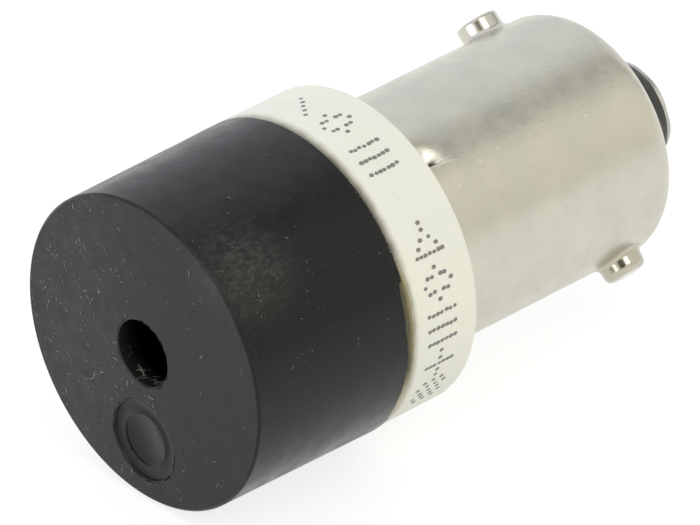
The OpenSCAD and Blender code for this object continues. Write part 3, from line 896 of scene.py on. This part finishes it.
def make_shell():
    """The drawn shell: a thin cup with a turned-in lip, staked to the collar at its mouth."""
    end_in = END_ROUND - SHELL_WALL
    in_r = shell_r - SHELL_WALL
    lip_r = shell_r - LIP_W
    fine_step, plain_step = 0.04, 0.3
    fine_end, plain_start = STAKE_LEN + 0.25, STAKE_LEN + 0.35
    rows = list(np.arange(mouth_y, fine_end, fine_step))
    rows += list(np.arange(plain_start, shell_end_y - END_ROUND, plain_step))
    marks = {}

    def pressed(radius, along, angle):
        depth, burnish_and_highlight, shade = staked(along, angle)
        marks["burnish_and_highlight"], marks["shade"] = burnish_and_highlight.ravel(), shade.ravel()
        wall = radius > in_r - FIT/2
        return radius - depth*wall + SHELL_RIPPLE*ripple(radius, along, angle, wave=1.7, seed=8.0), along

    end = rounded([
        (shell_r, rows[-1], 0),
        (shell_r, shell_end_y, END_ROUND),
        (lip_r, shell_end_y, LIP_OUT_ROUND),
        (lip_r, shell_end_y - SHELL_WALL, LIP_IN_ROUND),
        (in_r, shell_end_y - SHELL_WALL, end_in),
        (in_r, rows[-1], 0),
    ], steps=12)
    outline = [(shell_r, y) for y in rows[:-1]] + end + [(in_r, y) for y in rows[-2::-3]]
    b = Builder()
    turned(b, outline, shell_turn(), warp=pressed)
    b.piece("shell_cup", NICKEL, ["cap_shell"], flats=False, marks=marks)


def make_stud(name, node, finish, tip_round, taper):
    """A turned stud with a rounded tip and a flared foot that sits in a saddle on the shell."""
    fitting = next(m for m in frame["record"]["mounts"] if m["name"] == node)
    out = Vector(fitting["axis"])
    middle = Vector(fitting["pos_m"])/MM
    plain_top = middle.dot(out) + fitting["dims"]["length_mm"]/2
    radius = fitting["dims"]["r_mm"]
    along = Vector((0, 1, 0))
    across = out.cross(along)
    centre = Vector((0, middle.y, 0))
    tip = plain_top + CAD_TIP_ROUND
    wall_top = tip - tip_round
    count = 96
    b = Builder()

    def ring(r, height, on_shell):
        """A ring of the stud at a height from the axis, or over the shell where it follows it."""
        points = []
        for k in range(count):
            a = 2*pi*k/count
            side = r*sin(a)
            level = height + sqrt(shell_r**2 - side**2) if on_shell else height
            points.append(centre + along*(r*cos(a)) + across*side + out*level)
        return b.add(points)

    foot_steps, tip_steps = 6, 8
    rings = [ring(radius + STUD_FLARE, height, True) for height in (-STUD_SUNK, STUD_LIFT)]
    for k in range(1, foot_steps + 1):
        t = k/foot_steps*pi/2
        spread = taper + STUD_FLARE*(1 - sin(t))
        rings.append(ring(radius + spread, STUD_LIFT + STUD_FLARE*(1 - cos(t)), True))
    rings.append(ring(radius - taper, wall_top, False))
    for k in range(1, tip_steps + 1):
        t = k/tip_steps*pi/2
        shrink = taper + tip_round*(1 - cos(t))
        rings.append(ring(radius - shrink, wall_top + tip_round*sin(t), False))
    rings.append(ring(TIP_FLAT_R, tip, False))
    b.join(rings)
    b.cap(rings[-1], centre + out*tip)
    b.cap(rings[0], centre + out*(shell_r - STUD_ROOT))
    b.piece(name, finish, [node])


def make_glass():
    """The black glass end: a cone behind the shell's lip and a flanged hub inside it."""
    def cast(radius, along, angle):
        cone = (along > shell_end_y) & (radius > (GLASS_HOLE_R + CONE_TOP_R)/2)
        sag = END_SAG*np.cos(angle)*smooth(along, shell_end_y, glass_end_y)
        uneven = CONE_RIPPLE*ripple(radius, along, angle, wave=1.4, seed=5.0)
        return radius + np.where(cone, uneven - sag, 0), along

    in_r = shell_r - SHELL_WALL - FIT
    lip_r = shell_r - LIP_W - FIT
    floor_y = shell_end_y - SHELL_WALL - FIT
    flange_y = shell_end_y - END_ROUND
    slope = [(CONE_BASE_R + share*(CONE_TOP_R - CONE_BASE_R),
              shell_end_y + share*(glass_end_y - shell_end_y), 0)
             for share in (0.25, 0.5, 0.75)]
    outline = rounded([
        (GLASS_HOLE_R, hub_y, 0),
        (HUB_R, hub_y, 0),
        (HUB_R, flange_y, 0),
        (in_r, flange_y, 0),
        (in_r, floor_y, END_ROUND - SHELL_WALL - FLANGE_EASE),
        (lip_r, floor_y, 0),
        (lip_r, shell_end_y, 0),
        (CONE_BASE_R, shell_end_y, 0),
        *slope,
        (CONE_TOP_R, glass_end_y, CONE_EDGE),
        (GLASS_HOLE_R, glass_end_y, 0),
    ], steps=6)
    b = Builder()
    turned(b, outline, even_turn(200), warp=cast)
    b.piece("glass_end", GLASS, ["insulator"])


def make_contact():
    """The contact's eyelet and flange, a little beaten at its edge, and the solder dome on it."""
    def beaten(radius, along, angle):
        rim = np.clip((radius - EYELET_R)/(contact_r - EYELET_R), 0, 1)
        uneven = RIM_RIPPLE*ripple(radius, along, angle, wave=0.8, seed=2.0) - END_TRIM
        return radius + rim*(uneven - END_SAG*np.cos(angle)), along

    eyelet_in = EYELET_R - EYELET_WALL
    outline = rounded([
        (eyelet_in, contact_y, 0),
        (contact_r, contact_y, FLANGE_ROUND),
        (contact_r, glass_end_y, FLANGE_FOOT),
        (EYELET_R, glass_end_y, 0),
        (EYELET_R, glass_end_y - EYELET_LEN, 0),
        (eyelet_in, glass_end_y - EYELET_LEN, 0),
    ])
    b = Builder()
    turned(b, outline, even_turn(200), warp=beaten)
    b.piece("contact_flange", TIN, ["centre_contact"])

    rise = solder_y - contact_y
    flat_r = SOLDER_FLAT*solder_r
    rows = 26
    dome = []
    for k in range(rows):
        r = solder_r*(1 - k/rows)
        share = min(1.0, max(0.0, (r - flat_r)/(solder_r - flat_r)))
        dome.append((r, contact_y + rise*sqrt(1 - share**2)))

    def run(radius, along, angle):
        lumps = 1 - ripple(radius, along, angle, wave=0.9, seed=6.0)
        wrinkles = 1 - ripple(radius, along, angle, wave=0.35, seed=9.0)
        drop = (SOLDER_LUMPS*lumps + SOLDER_WRINKLES*wrinkles)*(along - contact_y)/rise
        edge = 1 - END_TRIM/solder_r + RIM_RIPPLE*ripple(radius, 0*along, angle, wave=0.7, seed=4.0)
        return radius*edge, along - drop

    b = Builder()
    profile = [(solder_r, contact_y - SOLDER_SUNK)] + dome
    rings = turned(b, profile, even_turn(200), (0, -END_SAG), warp=run, closed=False)
    b.cap(rings[-1], (0, b.points[rings[-1][0]][1], -END_SAG))
    b.cap(rings[0], (0, contact_y - SOLDER_SUNK, -END_SAG))
    b.piece("solder_dome", SOLDER, ["contact_solder"], flats=False)


# Dust and lint

def on_face(u, v):
    """Point and outward direction on the sounding face."""
    return Vector((head_axis[0] + u, face_y, head_axis[1] + v)), Vector((0, -1, 0))


def on_round(radius, a, v):
    """Point and radial direction round the head's axis, v behind the face."""
    out = Vector((sin(a), 0, cos(a)))
    return Vector((head_axis[0], face_y + v, head_axis[1])) + out*radius, out


def on_side(u, v):
    """Point and outward direction on the head's side: u round it from the top, v behind the face."""
    radius = face_r + HEAD_DRAFT*v/(head_rear_y - face_y)
    return on_round(radius, u/radius, v)


def in_hole(u, v):
    """Point and outward direction on the sound hole's wall: u round it from its lowest place, v deep."""
    point, out = on_round(HOLE_R, pi + u/HOLE_R, v)
    return point, -out


# A thread's bend, its arch and thin ends in thicknesses, its steps and its square section
LINT_BEND = 1.1
LINT_ARCH = 1.5
LINT_END = 0.45
LINT_STEPS = 8
LINT_SECTION = [(cos(t*pi), sin(t*pi)) for t in (0.25, 0.75, 1.25, 1.75)]
LOOK_AHEAD = 0.01


def fibre(builder, surface, u, v, length, thick):
    """A thread of lint that lies on a surface, with a bend of its own."""
    heading = draw.uniform(0, 2*pi)
    bend = draw.gauss(0, LINT_BEND)/length
    step = length/LINT_STEPS
    rings = []
    for k in range(LINT_STEPS + 1):
        point, out = surface(u, v)
        ahead, _ = surface(u + LOOK_AHEAD*cos(heading), v + LOOK_AHEAD*sin(heading))
        side = (ahead - point).normalized().cross(out)
        rise = thick*(1.0 + LINT_ARCH*sin(pi*k/LINT_STEPS))
        r = thick*(LINT_END if k in (0, LINT_STEPS) else 1.0)
        rings.append(builder.add([point + out*(rise + r*s) + side*(r*c) for c, s in LINT_SECTION]))
        u += step*cos(heading)
        v += step*sin(heading)
        heading += bend*step
    builder.join(rings)
    builder.faces.append(tuple(rings[0]))
    builder.faces.append(tuple(reversed(rings[-1])))


# A grain's uneven belt, and the heights of belt, top and foot as shares of its size
GRAIN_SKEW = 0.4
GRAIN_SPREAD = (0.6, 1.3)
GRAIN_BELT, GRAIN_TOP, GRAIN_FOOT = 0.3, 0.9, 0.1


def speck(builder, surface, u, v, size):
    """A grain of dust: a small lump of six uneven corners."""
    point, out = surface(u, v)
    side = out.orthogonal().normalized()
    other = out.cross(side)
    turn = draw.uniform(0, pi)
    belt = []
    for k in range(4):
        a = turn + k*pi/2 + draw.uniform(-GRAIN_SKEW, GRAIN_SKEW)
        r = size*draw.uniform(*GRAIN_SPREAD)
        belt.append(point + side*(r*cos(a)) + other*(r*sin(a)) + out*(GRAIN_BELT*size))
    numbers = builder.add([*belt, point + out*(GRAIN_TOP*size), point - out*(GRAIN_FOOT*size)])
    for k in range(4):
        j = (k + 1) % 4
        builder.faces.append((numbers[k], numbers[j], numbers[4]))
        builder.faces.append((numbers[j], numbers[k], numbers[5]))


# How lint and dust are spread: the least share, where they gather and what they keep clear of
FACE_LEAST, FACE_MIDDLE, FACE_FADE = 0.13, -1.2, 0.9
SPOT_NEAR, SPOT_MORE = 0.9, 0.25
HOLE_CLEAR, RIM_CLEAR, SPOT_CLEAR = 0.12, 0.15, 0.08
SIDE_LEAST, SIDE_FROM, SIDE_TO = 0.1, -3.2, 12.5
GATHER_U, GATHER_V, GATHER_R = 4.0, 1.6, 1.6
HOLE_ROUND, HOLE_DEEP = (0.2, 0.8), (0.35, 0.55)
EDGE_ANGLE, EDGE_BACK = (46, 14), (0.01, 0.1)


def face_places(count):
    """Places on the face, more of them towards its left, clear of the hole and the rim."""
    found = []
    while len(found) < count:
        u, v = draw.uniform(-face_r, face_r), draw.uniform(-face_r, face_r)
        from_axis = hypot(u, v)
        from_spot = hypot(u, v + spot_drop)
        wanted = FACE_LEAST + (1 - FACE_LEAST)/(1 + exp((u - FACE_MIDDLE)/FACE_FADE))
        if from_spot < SPOT_R + SPOT_NEAR:
            wanted += SPOT_MORE
        clear = HOLE_R + HOLE_CLEAR < from_axis < face_r - RIM_CLEAR and from_spot > SPOT_R + SPOT_CLEAR
        if clear and draw.random() < wanted:
            found.append((u, v))
    return found


def side_places(count):
    """Places on the camera's side of the head, more of them in the dusty patch."""
    found = []
    while len(found) < count:
        u, v = draw.uniform(SIDE_FROM, SIDE_TO), draw.uniform(RIM_CLEAR, head_rear_y - face_y - RIM_CLEAR)
        in_patch = exp(-((u - GATHER_U)/GATHER_R)**2 - ((v - GATHER_V)/GATHER_R)**2)
        if draw.random() < SIDE_LEAST + (1 - SIDE_LEAST)*in_patch:
            found.append((u, v))
    return found


def hole_places(count):
    """Places low on the sound hole's wall, drawn one by one."""
    for _ in range(count):
        yield draw.gauss(*HOLE_ROUND), draw.uniform(*HOLE_DEEP)


def edge_places(count):
    """Places along the head's rear edge on the camera's side, drawn one by one."""
    for _ in range(count):
        v = head_rear_y - face_y - draw.uniform(*EDGE_BACK)
        yield radians(draw.gauss(*EDGE_ANGLE))*head_r, v


# Lint by places, surface, count, and the ranges of length and thickness
LINT_SORTS = (
    (face_places, on_face, 300, (0.05, 0.2), (0.003, 0.0055)),
    (face_places, on_face, 75, (0.1, 0.34), (0.005, 0.0085)),
    (face_places, on_face, 9, (0.4, 0.75), (0.0055, 0.0075)),
    (side_places, on_side, 60, (0.05, 0.16), (0.003, 0.006)),
    (hole_places, in_hole, 30, (0.12, 0.33), (0.004, 0.008)),
)
# Dust by places, surface, count and range of size
DUST_SORTS = (
    (face_places, on_face, 1000, (0.005, 0.017)),
    (side_places, on_side, 480, (0.005, 0.013)),
    (edge_places, on_side, 46, (0.009, 0.022)),
)


def make_dust():
    """Lint and dust on the head, as it lies there."""
    lint = Builder()
    for places, surface, count, lengths, thicks in LINT_SORTS:
        for u, v in places(count):
            fibre(lint, surface, u, v, draw.uniform(*lengths), draw.uniform(*thicks))
    lint.piece("lint_threads", LINT, flats=False)
    dust = Builder()
    for places, surface, count, sizes in DUST_SORTS:
        for u, v in places(count):
            speck(dust, surface, u, v, draw.uniform(*sizes))
    dust.piece("dust_grains", LINT, flats=False)


# Light, floor and camera

WORLD_LEVEL = 0.965
GAP_ANGLE = 6
GAP_INNER, GAP_OUTER = 5, 26
GAP_SHADE = 0.46
HORIZON_FROM, HORIZON_TO = 62, 90
HORIZON_SHADE = 0.16
SHADE_FULL_Y = 0.35
OPENING_SIDE = (0.54, -0.58, 0.6)
OPENING_INNER, OPENING_OUTER = 13, 20
OPENING_SHADE = 0.88
COOL_WHITE = (0.965, 0.995, 1.065)
WARM_WHITE = (1.02, 0.99, 0.91)
TINT_SPREAD = 0.75
FLOOR_HALF = 1.5
FLOOR_GLOW = 0.8
FLOOR_TINT = 0.3
FLOOR_GREY = 0.9
LAMP_DISTANCE = 0.7
# Direction, half angle and radiance of the lamps beside the camera
LAMPS = {"lamp_above": ((0.595, -0.05, 0.81), 15.5, 1.65), "lamp_front": ((0.02, -0.98, 0.2), 20, 1.5)}


def make_world():
    """A white studio, dimmer overhead and low on one side behind the part, open towards the camera."""
    world = bpy.data.worlds.new("studio")
    world.use_nodes = True
    bpy.context.scene.world = world
    world.node_tree.nodes.clear()
    g = Graph(world.node_tree)
    direction = g.node("TexCoord").outputs["Generated"]
    parts = g.node("SeparateXYZ", direction).outputs
    angle = g.math("ARCTAN2", parts["X"], parts["Z"])
    off = g.math("ABSOLUTE", g.math("SUBTRACT", angle, radians(GAP_ANGLE)))
    gap = g.ramp(off, radians(GAP_OUTER), radians(GAP_INNER))
    horizon = g.ramp(angle, radians(HORIZON_FROM), radians(HORIZON_TO))
    shade = g.math("ADD", g.times(gap, GAP_SHADE), g.times(horizon, HORIZON_SHADE))
    shade = g.times(shade, g.ramp(parts["Y"], 0.0, SHADE_FULL_Y))
    aim = tuple(Vector(OPENING_SIDE).normalized())
    towards = g.node("VectorMath", direction, aim, operation="DOT_PRODUCT").outputs["Value"]
    opening = g.ramp(towards, cos(radians(OPENING_OUTER)), cos(radians(OPENING_INNER)))
    level = g.times(g.math("SUBTRACT", 1.0, shade), WORLD_LEVEL)
    level = g.times(level, g.math("SUBTRACT", 1.0, g.times(opening, OPENING_SHADE)))
    colour = g.mix(g.ramp(parts["X"], TINT_SPREAD, -TINT_SPREAD), WARM_WHITE, COOL_WHITE)
    background = g.node("Background", colour, level)
    g.node("OutputWorld", background.outputs[0])


def make_floor():
    """A white floor that the camera and the metal see as white, with the part's soft shadow on it."""
    level = cad_box[0].z
    mesh = bpy.data.meshes.new("floor")
    corners = [(-1, -1), (1, -1), (1, 1), (-1, 1)]
    mesh.from_pydata([(FLOOR_HALF*x, FLOOR_HALF*y, level) for x, y in corners], [], [(0, 1, 2, 3)])
    floor = placed("floor", mesh)
    material = bpy.data.materials.new("white_floor")
    material.use_nodes = True
    mesh.materials.append(material)
    material.node_tree.nodes.clear()
    g = Graph(material.node_tree)
    rays = g.node("LightPath").outputs
    seen = g.most(g.most(rays["Is Camera Ray"], rays["Is Glossy Ray"]), rays["Is Transmission Ray"])
    glow = g.node("Emission", (1, 1, 1), FLOOR_GLOW)
    tint = g.node("BsdfDiffuse", [FLOOR_TINT]*3)
    both = g.node("AddShader", glow.outputs[0], tint.outputs[0])
    plain = g.node("BsdfDiffuse", [FLOOR_GREY]*3)
    mixed = g.node("MixShader", seen, plain.outputs[0], both.outputs[0])
    g.node("OutputMaterial", mixed.outputs[0])


def make_lamps():
    """Two large soft lamps beside the camera."""
    for name, (side, half_angle, radiance) in LAMPS.items():
        towards = Vector(side).normalized()
        data = bpy.data.lights.new(name, "AREA")
        data.shape = "DISK"
        data.size = 2*LAMP_DISTANCE*tan(radians(half_angle))
        data.energy = radiance*pi*pi*data.size**2/4
        lamp = placed(name, data)
        lamp.location = towards*LAMP_DISTANCE
        lamp.rotation_mode = "QUATERNION"
        lamp.rotation_quaternion = (-towards).to_track_quat("-Z", "Y")


def make_camera():
    """The camera at the photograph's place, with its narrow view."""
    data = bpy.data.cameras.new("camera")
    data.sensor_width = SENSOR_W
    data.lens = SENSOR_W*FOCAL_PX/IMAGE_W
    data.clip_start = CLIP_NEAR
    data.clip_end = CLIP_FAR
    camera = placed("camera", data)
    azimuth, elevation = radians(CAMERA_AZIMUTH), radians(CAMERA_ELEVATION)
    level = cos(elevation)
    side = Vector((sin(azimuth)*level, -cos(azimuth)*level, sin(elevation)))
    camera.location = (Vector(CAMERA_TARGET) + side*CAMERA_DISTANCE)*MM
    camera.rotation_mode = "QUATERNION"
    camera.rotation_quaternion = (-side).to_track_quat("-Z", "Y")
    bpy.context.scene.camera = camera


make_camera()
finish_inner_nodes()
make_case()
make_collar()
make_glue()
make_print()
make_shell()
make_stud("stud_upper", "bayonet_stud_a", BRIGHT_NICKEL, UPPER_TIP_ROUND, UPPER_TAPER)
# The lower stud takes the nickel painted darker as shade
make_stud("stud_lower", "bayonet_stud_b", SHADED_STUD_NICKEL, LOWER_TIP_ROUND, LOWER_TAPER)
make_glass()
make_contact()
make_dust()
make_world()
make_floor()
make_lamps()
bpy.context.scene.view_settings.view_transform = "Standard"
